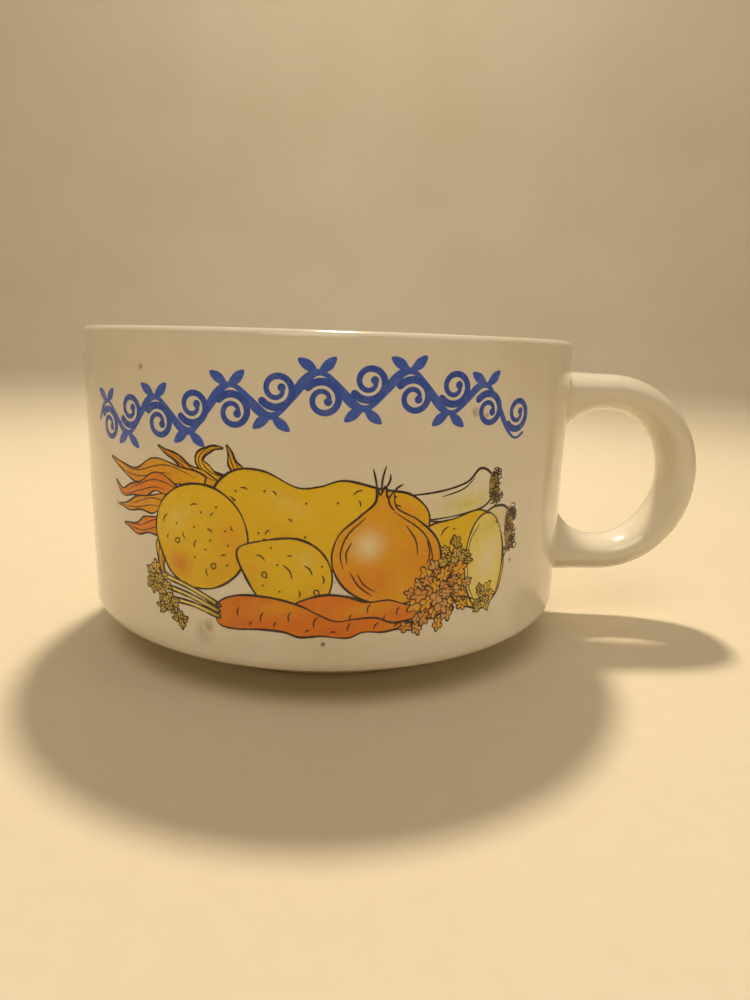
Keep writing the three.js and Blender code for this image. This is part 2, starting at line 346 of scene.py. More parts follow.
def inside_outline():
    """Glazed surface from the axis, across the floor and up the wall to the middle of the rim."""
    wall_foot = RIM_RADIUS - WALL - TAPER
    corner = arc(wall_foot - FLOOR_CORNER, FLOOR + FLOOR_CORNER, FLOOR_CORNER, FLOOR_CORNER,
                 -QUARTER, 0, 16)
    lip = arc(RIM_RADIUS - WALL + LIP, HEIGHT - LIP, LIP, LIP, math.pi, QUARTER, 12)
    return [
        (0.0, FLOOR), *straight((0.0, FLOOR), corner[0], 8), *corner,
        *straight(corner[-1], lip[0], 20), *lip, (CREST, HEIGHT),
    ]


def recess_outline():
    """Glazed surface from the glaze line inside the foot ring to the axis."""
    fillet = arc(FOOT_INNER_RADIUS - RECESS_FILLET, RECESS - RECESS_FILLET, RECESS_FILLET,
                 RECESS_FILLET, 0, QUARTER, 8)
    return [
        (FOOT_INNER_RADIUS, GLAZE_LINE), *fillet, *straight(fillet[-1], (0.0, RECESS), 8),
        (0.0, RECESS),
    ]


def inset_outline(points, distance):
    """An outline moved evenly to the right of its travel; its two ends move along one axis."""
    points = np.array(points)
    steps = np.diff(points, axis=0)
    normals = np.stack([steps[:, 1], -steps[:, 0]], axis=1)
    normals /= np.linalg.norm(normals, axis=1, keepdims=True)
    arriving = np.vstack([normals[:1], normals])
    leaving = np.vstack([normals, normals[-1:]])
    mitre = (arriving + leaving) / (1 + np.sum(arriving * leaving, axis=1, keepdims=True))
    mitre[0] = np.round(mitre[0])
    mitre[-1] = np.round(mitre[-1])
    return [tuple(p) for p in points + distance * mitre]


def lathe_faces(rings, segments, closed):
    """Faces between rings of points, from (first point, count); a ring on the axis has one point."""
    faces = []
    for (first, count), (second, next_count) in zip(rings, rings[1:] + (rings[:1] if closed else [])):
        for k in range(segments):
            following = (k + 1) % segments
            corners = [first + k % count, first + following % count,
                       second + following % next_count, second + k % next_count]
            faces.append(list(dict.fromkeys(corners)))
    return [face for face in faces if len(face) > 2]


def turned(name, outline, closed, material, slot, *nodes):
    """Turns an outline about the cup's axis; a closed one comes back to its first point."""
    points, rings = [], []
    for radius, height in outline:
        count = LATHE_SEGMENTS if radius > 1e-6 else 1
        rings.append((len(points), count))
        for k in range(count):
            angle = 2 * math.pi * k / LATHE_SEGMENTS
            x, y = radius * math.cos(angle), radius * math.sin(angle)
            swell = unevenness(x, y, height) * radius / RIM_RADIUS
            points.append((AXIS_X + x + swell * math.cos(angle), y + swell * math.sin(angle), height))
    make_piece(name, points, lathe_faces(rings, LATHE_SEGMENTS, closed), material, slot, *nodes)


def glaze_coat(name, outline, material, node):
    """A coat lies under its outline. One that reaches the axis isn't closed on itself there."""
    under = inset_outline(outline, GLAZE)
    if outline[-1][0] == 0:
        loop, closed = [*reversed(outline), *under], False
    else:
        loop = [*outline, *reversed(under)]
        closed = outline[0][0] > 0
    turned(name, loop, closed, material, "white_glaze", node)


def clay_cup(material):
    bare_outer, bare_inner = FOOT_RADIUS - INSET, FOOT_INNER_RADIUS + INSET
    foot_outer = arc(bare_outer - FOOT_BEVEL, FOOT_BEVEL, FOOT_BEVEL, FOOT_BEVEL, 0, -QUARTER, 6)
    foot_inner = arc(bare_inner + FOOT_BEVEL, FOOT_BEVEL, FOOT_BEVEL, FOOT_BEVEL, -QUARTER, -math.pi, 6)
    outline = [
        *inset_outline(inside_outline(), INSET), *inset_outline(outside_outline(), INSET)[1:],
        *foot_outer, *foot_inner, *inset_outline(recess_outline(), INSET),
    ]
    turned("clay_cup", outline, False, material, "bisque_clay", "cup_body")


# ---- Handle ----

SECTION_POINTS = 64
RING_STEPS = 80
ROOT_RISES = (-0.6, -0.25, 0.0, 0.06, 0.15, 0.28, 0.45, 0.65, 0.9, 1.2, 1.6, 2.1, 2.7, 3.4, 4.2, 5.1, 6.1,
              7.2, 8.4, 9.7, 11.1)  # of the sections of a root above the wall
SEAM_FILLET = 1.1
CROWN_LIFT = 0.35  # how much higher the outside of an arm stands at the wall than at the ring
WALL_FOLLOWING = 6.0  # up to this rise, sections bend round the cup


def quarter_hollow(share):
    """A hollow quarter round: 1 where share is 1, level with nothing where share is 0."""
    return 1 - math.sqrt(1 - min(max(share, 0.0), 1.0) ** 2)


def arm_station(side, hole_reach, rise):
    """Centre, outward way, half sizes and rise from the wall, of one section of a level arm."""
    above = max(rise, 0.0)
    to_turn = HANDLE_TURN - RIM_RADIUS - above
    spread = (to_turn / (HANDLE_TURN - RIM_RADIUS)) ** 2
    seam = SEAM_FILLET * quarter_hollow(1 - above / SEAM_FILLET)
    outer = HALF_THICKNESS + CROWN_LIFT * spread + seam
    inner = HALF_THICKNESS + HOLE_HALF_HEIGHT * quarter_hollow(to_turn / hole_reach) + seam * 0.5
    wide = HALF_WIDTH + (ROOT_HALF_WIDTH - HALF_WIDTH) * spread + seam
    return RIM_RADIUS + rise, HANDLE_CENTRE + side * RING_RISE, 0.0, side, outer, inner, wide, rise


def handle_stations():
    """Sections of the handle from its upper root, round the ring, to its lower root."""
    stations = [arm_station(1, UPPER_HOLE_REACH, rise) for rise in ROOT_RISES]
    for turn in np.linspace(0, math.pi, RING_STEPS + 1):
        out_x, out_z = math.sin(turn) / RING_REACH, math.cos(turn) / RING_RISE
        length = math.hypot(out_x, out_z)
        stations.append((
            HANDLE_TURN + RING_REACH * math.sin(turn), HANDLE_CENTRE + RING_RISE * math.cos(turn),
            out_x / length, out_z / length, HALF_THICKNESS, HALF_THICKNESS, HALF_WIDTH, RING_REACH,
        ))
    return stations + [arm_station(-1, LOWER_HOLE_REACH, rise) for rise in reversed(ROOT_RISES)]


def handle_rings(depth):
    """Rings of points on the handle's surface, or on one that lies depth under it."""
    rings = []
    for x, z, out_x, out_z, outer, inner, wide, rise in handle_stations():
        follow = min(max(1 - rise / WALL_FOLLOWING, 0.0), 1.0)
        ring = []
        for angle in round_angles(SECTION_POINTS):
            c, s = math.cos(angle), math.sin(angle)
            thick = (outer if c > 0 else inner) - depth
            side = (wide - depth) * s
            uneven = HANDLE_SWELL * (noise.noise(Vector((x / 9, side / 9, z / 9 + c))) - 1)
            out = thick * c + uneven * c
            fall = RIM_RADIUS - math.sqrt(RIM_RADIUS ** 2 - side ** 2)
            ring.append((AXIS_X + x + out * out_x - follow * fall, side + uneven * s, z + out * out_z))
        rings.append(ring)
    return rings


def handle_coat(material):
    """The handle's coat: an outer and an inner tube, joined at the two ends."""
    rings = handle_rings(0.0) + handle_rings(GLAZE)[::-1]
    points = [point for ring in rings for point in ring]
    faces = []
    for i in range(len(rings)):
        here, there = i * SECTION_POINTS, (i + 1) % len(rings) * SECTION_POINTS
        for k in range(SECTION_POINTS):
            following = (k + 1) % SECTION_POINTS
            faces.append([here + k, here + following, there + following, there + k])
    make_piece("handle_glaze_coat", points, faces, material, "white_glaze", "handle_glaze")


# ---- Drawing on the wall ----

FILM_UNDERSIDE = -0.06  # inside the glaze
FIRST_LIFT = 0.02
LAYER_LIFT = 0.0015
CELL = 0.5  # of the raster that remembers what lies where on the wall
GRID = 0.9  # between the points inside a field of colour
TIP_POINTS = 5
INK = linear("#33190e")
INK_WIDTH = 0.42
dice = random.Random(20)


def wall_point(along, height, lift):
    """A place on the cup's wall: millimetres round from the middle of the print, and up."""
    angle = PRINT_AZIMUTH + along / RIM_RADIUS
    share = (HEIGHT - LIP - height) / (HEIGHT - LIP - CORNER_TOP)
    radius = RIM_RADIUS - TAPER * share
    x, y = radius * math.cos(angle), radius * math.sin(angle)
    radius += unevenness(x, y, height) + lift
    return (AXIS_X + radius * math.cos(angle), radius * math.sin(angle), height)


def smooth_path(points, closed=False, spacing=0.5):
    """A Catmull-Rom curve through a few points, resampled evenly."""
    points = np.array(points, dtype=float)
    if closed:
        padded = np.vstack([points[-1:], points, points[:2]])
    else:
        padded = np.vstack([2 * points[0] - points[1], points, 2 * points[-1] - points[-2]])
    t = np.linspace(0, 1, 16, endpoint=False)[:, None]
    parts = []
    for a, b, c, d in zip(padded, padded[1:], padded[2:], padded[3:]):
        parts.append(0.5 * (2 * b + (c - a) * t + (2 * a - 5 * b + 4 * c - d) * t ** 2
                            + (3 * b - a - 3 * c + d) * t ** 3))
    fine = np.vstack(parts + [points[:1] if closed else points[-1:]])
    reach = np.concatenate([[0], np.cumsum(np.linalg.norm(np.diff(fine, axis=0), axis=1))])
    count = max(int(reach[-1] / spacing), 3)
    at = np.linspace(0, reach[-1], count + 1)
    even = np.stack([np.interp(at, reach, fine[:, 0]), np.interp(at, reach, fine[:, 1])], axis=1)
    return even[:-1] if closed else even


def directions(path):
    """Unit ways along a path and to its left, at each of its points."""
    ways = np.gradient(path, axis=0)
    ways /= np.linalg.norm(ways, axis=1, keepdims=True) + 1e-12
    return ways, np.stack([-ways[:, 1], ways[:, 0]], axis=1)


def oval(centre, across, up, count):
    """Points once round an ellipse."""
    return [(centre[0] + across * math.cos(a), centre[1] + up * math.sin(a)) for a in round_angles(count)]


def inside(points, loop):
    """Which points lie inside a closed loop."""
    x, y = points[:, :1], points[:, 1:]
    x1, y1 = loop[:, 0], loop[:, 1]
    x2, y2 = np.roll(x1, -1), np.roll(y1, -1)
    crosses = (y1 > y) != (y2 > y)
    at = x1 + (y - y1) * (x2 - x1) / np.where(y2 == y1, 1e-9, y2 - y1)
    return np.sum(crosses & (x < at), axis=1) % 2 == 1


def airbrush(base, *spots):
    """Colours points with soft round spots of (centre, reach, colour, strength) on a base."""
    def shade(points):
        colours = np.tile(base, (len(points), 1))
        for centre, reach, colour, strength in spots:
            away = np.linalg.norm((points - np.array(centre)) / np.array(reach), axis=1)
            share = (strength * np.clip(1 - away, 0, 1) ** 1.5)[:, None]
            colours = colours * (1 - share) + colour * share
        return colours
    return shade


class Print:
    """One printed subject, built up from films of fired colour and line, each on what it covers."""

    # The highest colour field, and the highest film of any kind, by cell of the wall. All prints share them.
    fields, tops = {}, {}

    def __init__(self, pivot=(0, 0), place=(0, 0), turn=0, mirrored=False):
        self.points, self.faces, self.tints = [], [], []
        self.at(pivot, place, turn, mirrored)

    def at(self, pivot, place, turn=0, mirrored=False):
        """From here on, what is drawn round a pivot lies round a place, turned by degrees."""
        self.pivot, self.place = pivot, place
        c, s = math.cos(math.radians(turn)), math.sin(math.radians(turn))
        self.turning = np.array([[-c, -s] if mirrored else [c, s], [-s, c]])

    def placed(self, points):
        return (np.array(points) - self.pivot) @ self.turning + self.place

    @staticmethod
    def rest(covered, field):
        """The layer on which a new film comes to lie. Ink lines may cross at one height."""
        cells = {tuple(cell) for cell in np.round(np.array(covered) / CELL).astype(int)}
        around = ((0, 0), (1, 0), (-1, 0), (0, 1), (0, -1))
        near = {(x + dx, y + dy) for x, y in cells for dx, dy in around}
        below = Print.tops if field else Print.fields
        layer = 1 + max(below.get(cell, -1) for cell in near)
        for cell in cells:
            Print.tops[cell] = max(Print.tops.get(cell, -1), layer)
            if field:
                Print.fields[cell] = layer
        return layer

    def lay(self, flat, faces, tints, covered, field):
        """Lays one patch of colour, a closed film with its underside sunk into the glaze."""
        flat, covered = self.placed(flat), self.placed(covered)
        start, count = len(self.points), len(flat)
        lift = FIRST_LIFT + self.rest(covered, field) * LAYER_LIFT
        for height in (lift, FILM_UNDERSIDE):
            self.points += [wall_point(x, y, height) for x, y in flat]
            self.tints += [tuple(tint) for tint in tints]
        top = [[start + corner for corner in face] for face in faces]
        uses = Counter(frozenset(pair) for face in top for pair in zip(face, face[1:] + face[:1]))
        rim = [(a, b) for face in top for a, b in zip(face, face[1:] + face[:1])
               if uses[frozenset((a, b))] == 1]
        self.faces += top
        self.faces += [[corner + count for corner in reversed(face)] for face in top]
        self.faces += [[b, a, a + count, b + count] for a, b in rim]

    def fill(self, outline, shade):
        """A field of colour inside an outline."""
        loop = np.array(outline)
        low, high = loop.min(axis=0), loop.max(axis=0)
        across, up = np.meshgrid(np.arange(low[0], high[0], GRID), np.arange(low[1], high[1], GRID))
        across = across + (np.arange(across.shape[0]) % 2)[:, None] * GRID / 2
        grid = np.stack([across.ravel(), up.ravel()], axis=1)
        grid = grid[inside(grid, loop)]
        to_edge = np.min(np.linalg.norm(grid[:, None] - loop[None], axis=2), axis=1)
        grid = grid[to_edge > GRID * 0.45]
        corners = [Vector(p) for p in np.vstack([loop, grid])]
        edges = [(i, (i + 1) % len(loop)) for i in range(len(loop))]
        flat, _, faces, *_ = delaunay_2d_cdt(corners, edges, [], 1, 1e-6)
        flat = np.array([tuple(p) for p in flat])
        raster = np.stack([axis.ravel() for axis in np.meshgrid(
            np.arange(low[0], high[0], CELL * 0.8), np.arange(low[1], high[1], CELL * 0.8))], axis=1)
        self.lay(flat, faces, shade(flat), np.vstack([raster[inside(raster, loop)], loop]), True)

    def line(self, path, width, colour=INK, taper=0.0, field=False):
        """A brush line over what lies there: thinner towards its ends by taper, and round at them."""
        ways, sides = directions(path)
        share = np.linspace(0, 1, len(path))
        half = np.broadcast_to(width, len(path)) / 2 * (1 - taper * np.abs(2 * share - 1) ** 3)
        tips = [path[end] + half[end] * (math.cos(a) * sign * ways[end] + math.sin(a) * sides[end])
                for end, sign in ((0, -1), (-1, 1))
                for a in np.linspace(-QUARTER, QUARTER, TIP_POINTS + 2)[1:-1]]
        body = np.vstack([path + sides * half[:, None], path - sides * half[:, None]])
        count = len(path)
        first, last = 2 * count, 2 * count + TIP_POINTS
        faces = [[i, i + 1, count + i + 1, count + i] for i in range(count - 1)]
        faces.append([count, *range(first, first + TIP_POINTS), 0])
        faces.append([2 * count - 1, *range(last, last + TIP_POINTS), count - 1])
        points = np.vstack([body, tips])
        self.lay(points, faces, [colour] * len(points), np.vstack([body, path]), field)

    def outline(self, loop, width=INK_WIDTH):
        """A line all round a closed loop, thick and thin by turns as a pen leaves it."""
        loop = np.vstack([loop, loop[:1]])
        round_it = 2 * math.pi * np.linspace(0, 1, len(loop))
        pressure = 1 + 0.25 * np.sin(3 * round_it + 0.4 * math.pi) + 0.12 * np.sin(11 * round_it)
        self.line(loop, width * pressure)

    def lines(self, paths, width=INK_WIDTH * 0.8):
        for path in paths:
            self.line(smooth_path(path), width, taper=0.6)

    def spots(self, centres, size=0.24):
        """Small filled dots."""
        for centre in centres:
            rim = oval(centre, size, size, 8)
            self.lay(rim, [list(range(8))], [INK] * 8, rim, False)

    def rings(self, centres, size=0.62):
        """Small open circles, as eyes are drawn on a potato."""
        for centre in centres:
            ring = oval(centre, size, 0.8 * size, 7)
            self.outline(smooth_path(ring, closed=True, spacing=0.3), INK_WIDTH * 0.7)

    def shape(self, points, shade, details=(), width=INK_WIDTH):
        """A field, its outline and its inner lines."""
        loop = smooth_path(points, closed=True)
        self.fill(loop, shade)
        self.outline(loop, width)
        self.lines(details)

    def finish(self, name, material, slot="harvest_print", node="harvest_transfer"):
        """Makes the print's mesh, with each point's colour."""
        piece = make_piece(name, self.points, self.faces, material, slot, node)
        tint = piece.data.color_attributes.new("tint", "FLOAT_COLOR", "POINT")
        tint.data.foreach_set("color", np.array([(*t, 1.0) for t in self.tints]).ravel())


# ---- Blue scroll ----

BLUE = linear("#3f63cf")
BLUE_DEEP = linear("#3456bf")
ARCH = ((-62, 57.5), (-45, 60), (-30, 61.5), (-15, 65), (0, 67), (14, 67.5), (30, 65.5), (46, 59))
SCROLL_START = -59.0
SCROLL_END = 45.0
HALF_WAVES = 12
WAVE_HEIGHT = 3.6
STEM_WIDTH = 1.45
STEM_SWELL = 0.45
CURL_RADIUS = 3.6
CURL_TURNS = 1.45
CURL_POINTS = 40
BEAD_RADIUS = 0.8


def arch_height(along):
    """The height on the wall of the line that the stem waves about."""
    smooth = smooth_path(ARCH)
    return float(np.interp(along, smooth[:, 0], smooth[:, 1]))


def vine_point(phase):
    """The stem's place at a phase, in half waves from the left end."""
    along = SCROLL_START + (SCROLL_END - SCROLL_START) * phase / HALF_WAVES
    return np.array([along, arch_height(along) + WAVE_HEIGHT * math.sin(math.pi * phase)])


def scroll_curl(art, crest, above):
    """A curl in the hollow under or over a crest of the stem, with a bead at its inner end."""
    turns = np.linspace(0, CURL_TURNS, CURL_POINTS)
    radius = CURL_RADIUS * (1 - turns / 2.0)
    angle = above * (-QUARTER + 2 * math.pi * turns) - 0.9 * above
    middle = crest + np.array([1.0, above * 5.0])
    curl = middle + np.stack([radius * np.cos(angle), radius * np.sin(angle)], axis=1)
    art.line(curl, np.linspace(1.5, 0.8, CURL_POINTS), BLUE_DEEP, field=True)
    bead = smooth_path(oval(curl[-1], BEAD_RADIUS, BEAD_RADIUS, 8), closed=True, spacing=0.4)
    art.fill(bead, airbrush(BLUE_DEEP))


def scroll_leaves(art, crest, above):
    """A pair of leaves on the outer side of a crest."""
    root = crest + np.array([0.0, above * 0.2])
    for lean in (-0.95, 0.85):
        way = np.array([math.sin(lean), -above * math.cos(lean)])
        side = np.array([way[1], -way[0]])
        leaf = [root, root + 2.4 * way + 1.1 * side, root + 4.6 * way, root + 2.6 * way - 0.9 * side]
        art.fill(smooth_path(leaf, closed=True, spacing=0.4), airbrush(BLUE))


def scroll_print(material):
    """A running vine of brush strokes: a waved stem, a curl in each hollow, paired leaves."""
    art = Print()
    stem = np.array([vine_point(p) for p in np.linspace(0, HALF_WAVES, 260)])
    stem = smooth_path(stem[::4])
    swell = STEM_WIDTH + STEM_SWELL * np.sin(np.linspace(0, HALF_WAVES, len(stem)) * math.pi * 2)
    art.line(stem, swell, BLUE, taper=0.5, field=True)
    for k in range(HALF_WAVES):
        crest, above = vine_point(k + 0.5), 1 if k % 2 else -1
        scroll_curl(art, crest, above)
        if k < HALF_WAVES - 1:
            scroll_leaves(art, crest, above)
    art.finish("blue_scroll_print", material, "blue_print", "scroll_transfer")


# ---- Harvest print ----

GOLD = linear("#f0c80c")
AMBER = linear("#eba90a")
ORANGE = linear("#ee8c0c")
CARROT = linear("#e8800c")
RED_BLUSH = linear("#de5f12")
PALE = linear("#f8efcf")
CREAM = linear("#f2e07c")
LEEK_WHITE = linear("#efe7d2")
LIME = linear("#dcd23c")
OLIVE = linear("#b79c2c")
DRY_TIP = linear("#7d4a1c")
# Each subject is drawn round a pivot: this says where that lies, how far it turns, and if it is mirrored.
LEEK_PLACE = ((-5.5, 45), (-5.5, 43.5), 6, True)
CARROT_PLACE = ((0, 24), (2, 22.5), 10, True)


def ticks(*marks):
    """Short curved pen marks, each from (x, y, length, lean in degrees)."""
    paths = []
    for x, y, length, lean in marks:
        way = np.array([math.cos(math.radians(lean)), math.sin(math.radians(lean))])
        bow = np.array([-way[1], way[0]]) * length * 0.16
        middle = np.array([x, y])
        paths.append([middle - way * length / 2, middle + bow, middle + way * length / 2])
    return paths


def leek(art, outline, tinge, grooves):
    art.shape(
        outline,
        airbrush(LEEK_WHITE, (tinge, (11, 4), LIME, 0.8), ((8, 50), (22, 7), GOLD, 0.9)),
        grooves,
    )


def leek_roots(art, root, spread, tilt):
    """A matted tuft of fine roots: a dark pad under a tangle of small curls."""
    pad = oval((root[0] + 0.4, root[1]), 1.5, spread, 14)
    art.fill(smooth_path(pad, closed=True), airbrush(linear("#a08a4c"), (root, (2, spread), OLIVE, 0.5)))
    for _ in range(int(spread * 11)):
        middle = root + np.array([dice.uniform(-1.6, 1.5), dice.uniform(-spread, spread)])
        sweep = np.linspace(0, dice.uniform(3.4, 5.6), 12) + dice.uniform(0, 6) + tilt
        reach = dice.uniform(0.4, 0.8)
        curl = middle + reach * np.stack([np.cos(sweep), 0.75 * np.sin(sweep)], axis=1)
        art.line(curl, 0.26, taper=0.3)


def leeks(material):
    art = Print(*LEEK_PLACE)
    leek(
        art,
        [(-46.5, 47.5), (-43.5, 49.3), (-39.5, 46.9), (-30, 46.2), (-14, 47.6), (2, 50.6), (14, 54.6),
         (17, 51), (2, 45.8), (-14, 42.4), (-30, 40.8), (-39, 40.6), (-44.5, 41.2), (-47, 43.8)],
        (-40, 42.4),
        [[(-42, 47.6), (-39, 45.8), (-34, 45)], [(-2, 48.2), (6, 49.6), (13, 52.3)]],
    )
    leek_roots(art, (-47.6, 44.6), 3.6, 0.15)
    leek(
        art,
        [(-51.5, 38.6), (-47.5, 40.4), (-41, 38.7), (-30, 40.6), (-18, 42.6), (-10, 42), (-12, 36),
         (-24, 33.6), (-36, 30.4), (-43, 27.6), (-48.5, 27.2), (-51.5, 31)],
        (-44, 37.6),
        [[(-46, 37.2), (-38, 35.6), (-28, 37)], [(-34, 38.6), (-24, 40)]],
    )
    leek_roots(art, (-52.2, 34.2), 5.2, 0.1)
    art.finish("print_leeks", material)


def blade(art, spine, width, tone, phase):
    """One long leaf with rippled edges and a dry, curling tip."""
    spine = smooth_path(spine, spacing=0.6)
    _, sides = directions(spine)
    share = np.linspace(0, 1, len(spine))
    half = width / 2 * (1 - share ** 2.6) * (0.75 + 0.25 * np.sin(math.pi * share)) + 0.12
    left = spine + sides * (half * (1 + 0.28 * np.sin(15 * share + phase)))[:, None]
    right = spine - sides * (half * (1 + 0.28 * np.sin(17 * share + phase + 2)))[:, None]
    loop = np.vstack([left, right[::-1]])
    art.fill(loop, airbrush(
        tone,
        (spine[0], (8, 8), GOLD, 0.7),
        (spine[len(spine) * 2 // 3], (5, 4), ORANGE, 0.5),
        (spine[-1], (4.5, 3.5), DRY_TIP, 0.85),
    ))
    art.outline(loop, INK_WIDTH * 0.85)
    for lean, first, last in ((0.45, 0.1, 0.8), (-0.35, 0.3, 0.92)):
        vein = spine + sides * (half * lean)[:, None]
        count = len(vein)
        art.line(vein[int(first * count):int(last * count)], INK_WIDTH * 0.55, taper=0.7)


def leek_leaves(material):
    """Leaf blades that fan out from the leeks, with two short curls standing up behind."""
    art = Print(*LEEK_PLACE)
    blade(art, [(2.5, 49.6), (5.4, 52.2), (6.8, 55), (8, 59)], 2.6, GOLD, 0.4)
    blade(art, [(8, 51.6), (12.6, 53.6), (14.2, 56.4), (11.6, 58.6), (8.8, 58.4)], 2.2, GOLD, 1.7)
    blade(art, [(9, 50.6), (14.6, 53), (19, 56), (24.4, 59.4)], 2.4, AMBER, 3.1)
    blade(art, [(14, 51), (22.6, 54.4), (31, 53.6), (36.4, 54.4), (41.6, 57)], 4.2, AMBER, 0.9)
    blade(art, [(17, 48), (25.6, 51.4), (32.4, 50.4), (37.6, 49.4), (40.6, 52)], 4.0, ORANGE, 2.4)
    blade(art, [(19, 45), (27, 47.6), (33.8, 46.8), (40.4, 46.6)], 4.0, AMBER, 4.1)
    blade(art, [(20, 42), (26.6, 43.2), (32.6, 42), (38.8, 42.6)], 4.2, ORANGE, 5.2)
    blade(art, [(22, 41), (26, 39.4), (27.4, 35.6), (26.4, 31.8)], 2.8, GOLD, 1.2)
    art.finish("print_leek_leaves", material)


def onion(material):
    art = Print((-16, 50), (12, 34.5), -10)
    art.shape(
        [(-21.4, 63.4), (-21.2, 60.6), (-23.6, 57.4), (-27, 52.8), (-27.2, 47.2), (-23.8, 42.6), (-18, 40.4),
         (-11, 41), (-6, 44.6), (-4.6, 50), (-6.6, 55), (-11.6, 58.4), (-16.6, 60.2), (-17.9, 63.2),
         (-18.9, 61.8), (-19.8, 64.2), (-20.5, 62.2)],
        airbrush(AMBER, ((-8, 50), (8, 12), ORANGE, 0.55), ((-22, 44), (9, 6), ORANGE, 0.8),
            ((-20.8, 52), (5, 5), PALE, 0.95), ((-17, 45), (5, 7), RED_BLUSH, 0.4),
            ((-9, 56), (7, 4), GOLD, 0.35)),
        [[(-22.4, 57.4), (-25.2, 53.4), (-25.9, 49.4), (-24.8, 46.4)],
         [(-17, 59.4), (-10, 56), (-6.9, 51.4), (-7.2, 47.6)], [(-14, 57), (-11.4, 54.4), (-10.2, 51.4)],
         [(-23.4, 46), (-21, 43.4), (-18, 41.8)], [(-21.8, 45.8), (-20, 43.8), (-17.6, 42.8)],
         [(-24.2, 52), (-24.8, 49.6), (-24.2, 47.6)], [(-8.8, 54.6), (-7.6, 51.8), (-7.8, 49.6)]],
    )
    art.lines(
        [[(-21.3, 63), (-22, 65), (-22.9, 67)], [(-20.4, 62.6), (-20.7, 65.6), (-20.5, 68)],
         [(-19.8, 63.6), (-19.2, 65.2), (-19.3, 66.6)], [(-18, 63), (-17.4, 64.2), (-16.4, 65)],
         [(-19, 62.4), (-18.2, 60.6), (-17, 59.6)]],
        INK_WIDTH,
    )
    art.finish("print_onion", material)


def long_potato(art):
    art.shape(
        [(-28.6, 26.6), (-27, 32.4), (-22, 35.8), (-15, 36.8), (-11.4, 39.4), (-8, 43), (-1, 45.4),
         (5, 47.6), (10.6, 46), (12.4, 40), (9, 33), (2, 27.6), (-8, 24), (-17, 21.4), (-25, 21.8)],
        airbrush(GOLD, ((6, 43), (9, 8), ORANGE, 0.75), ((-24, 23), (6, 4), RED_BLUSH, 0.8),
            ((-8, 26), (14, 4), AMBER, 0.8), ((-15, 33), (8, 3), CREAM, 0.45)),
        ticks((-23.4, 30.6, 1.6, 20), (-24.4, 27.4, 1.2, -20), (-20.6, 24.4, 1.8, 40), (-15, 26, 1.4, 80),
            (-4.6, 42.4, 2.0, 60), (-3.2, 40.8, 1.2, -40), (-12.6, 30.6, 1.0, 0), (3.6, 44.2, 1.6, 20),
            (-18, 33.4, 1.2, -10)),
    )
    art.rings([(-23, 25.2)], 0.6)
    art.spots(
        [(-24.6, 29.2), (-23.8, 27.6), (-19.8, 32.6), (-16.4, 24.8), (-14.8, 24.4), (-8.4, 29.4),
         (-11.8, 35.2), (2.2, 45.6), (-20.6, 22.6), (-6.8, 38.6)],
    )


def round_potato(art):
    art.shape(
        [(4.4, 42.6), (6.6, 48.4), (12, 51.8), (18.8, 51.2), (24.2, 47), (26, 40.6), (23.6, 34.4),
         (18, 30.6), (11.6, 30.8), (6.6, 34), (4.2, 38.4)],
        airbrush(GOLD, ((7.4, 39.4), (4.4, 5), RED_BLUSH, 0.75), ((21, 36), (8, 9), AMBER, 0.8),
            ((13, 47), (7, 4), CREAM, 0.6), ((14, 33), (7, 4), ORANGE, 0.4)),
        ticks((10.4, 48.6, 2.2, 20), (18.4, 46.6, 1.8, -30), (12.2, 43.2, 1.6, 75), (13.4, 40.4, 1.8, 35),
            (18, 40.6, 1.4, -70), (20.6, 42.8, 1.0, 10), (11.8, 34.4, 1.6, 60), (17.2, 35, 1.2, -20),
            (22.4, 38.2, 1.2, 80), (8.4, 45.4, 1.0, 40)),
    )
    art.rings([(10, 43.4), (13.9, 34.6)])
    art.spots(
        [(15.4, 43.2), (16.8, 39), (14.6, 38.2), (18.8, 44.6), (20.8, 38.6), (19.4, 36), (11.4, 38.4),
         (12.2, 46.2), (22.4, 43.4), (16.6, 33)],
    )


def small_potato(art):
    art.shape(
        [(-17.6, 50.6), (-12.6, 53.6), (-7, 52.6), (-3.4, 48), (-3.6, 41.4), (-9, 38), (-16, 37.4),
         (-21, 38.6), (-20.6, 43.6)],
        airbrush(GOLD, ((-5, 46), (5, 9), AMBER, 0.9), ((-16, 40), (8, 4), AMBER, 0.5),
            ((-13, 50), (4, 3), CREAM, 0.6)),
        ticks((-11, 49.4, 2.6, 10), (-8, 51, 1.8, -20), (-12.6, 45.6, 3.4, 4), (-17.6, 42.2, 2.2, 30),
            (-7.6, 45.4, 1.5, -30), (-15.2, 47.6, 0.9, 70)),
    )
    art.rings([(-14.2, 41.2), (-6.2, 48.6)])
    art.spots([(-9.8, 42.2), (-12.4, 39.8), (-5.6, 43.6), (-14.8, 44.6), (-10.4, 52.2), (-18.4, 45.2)], 0.22)


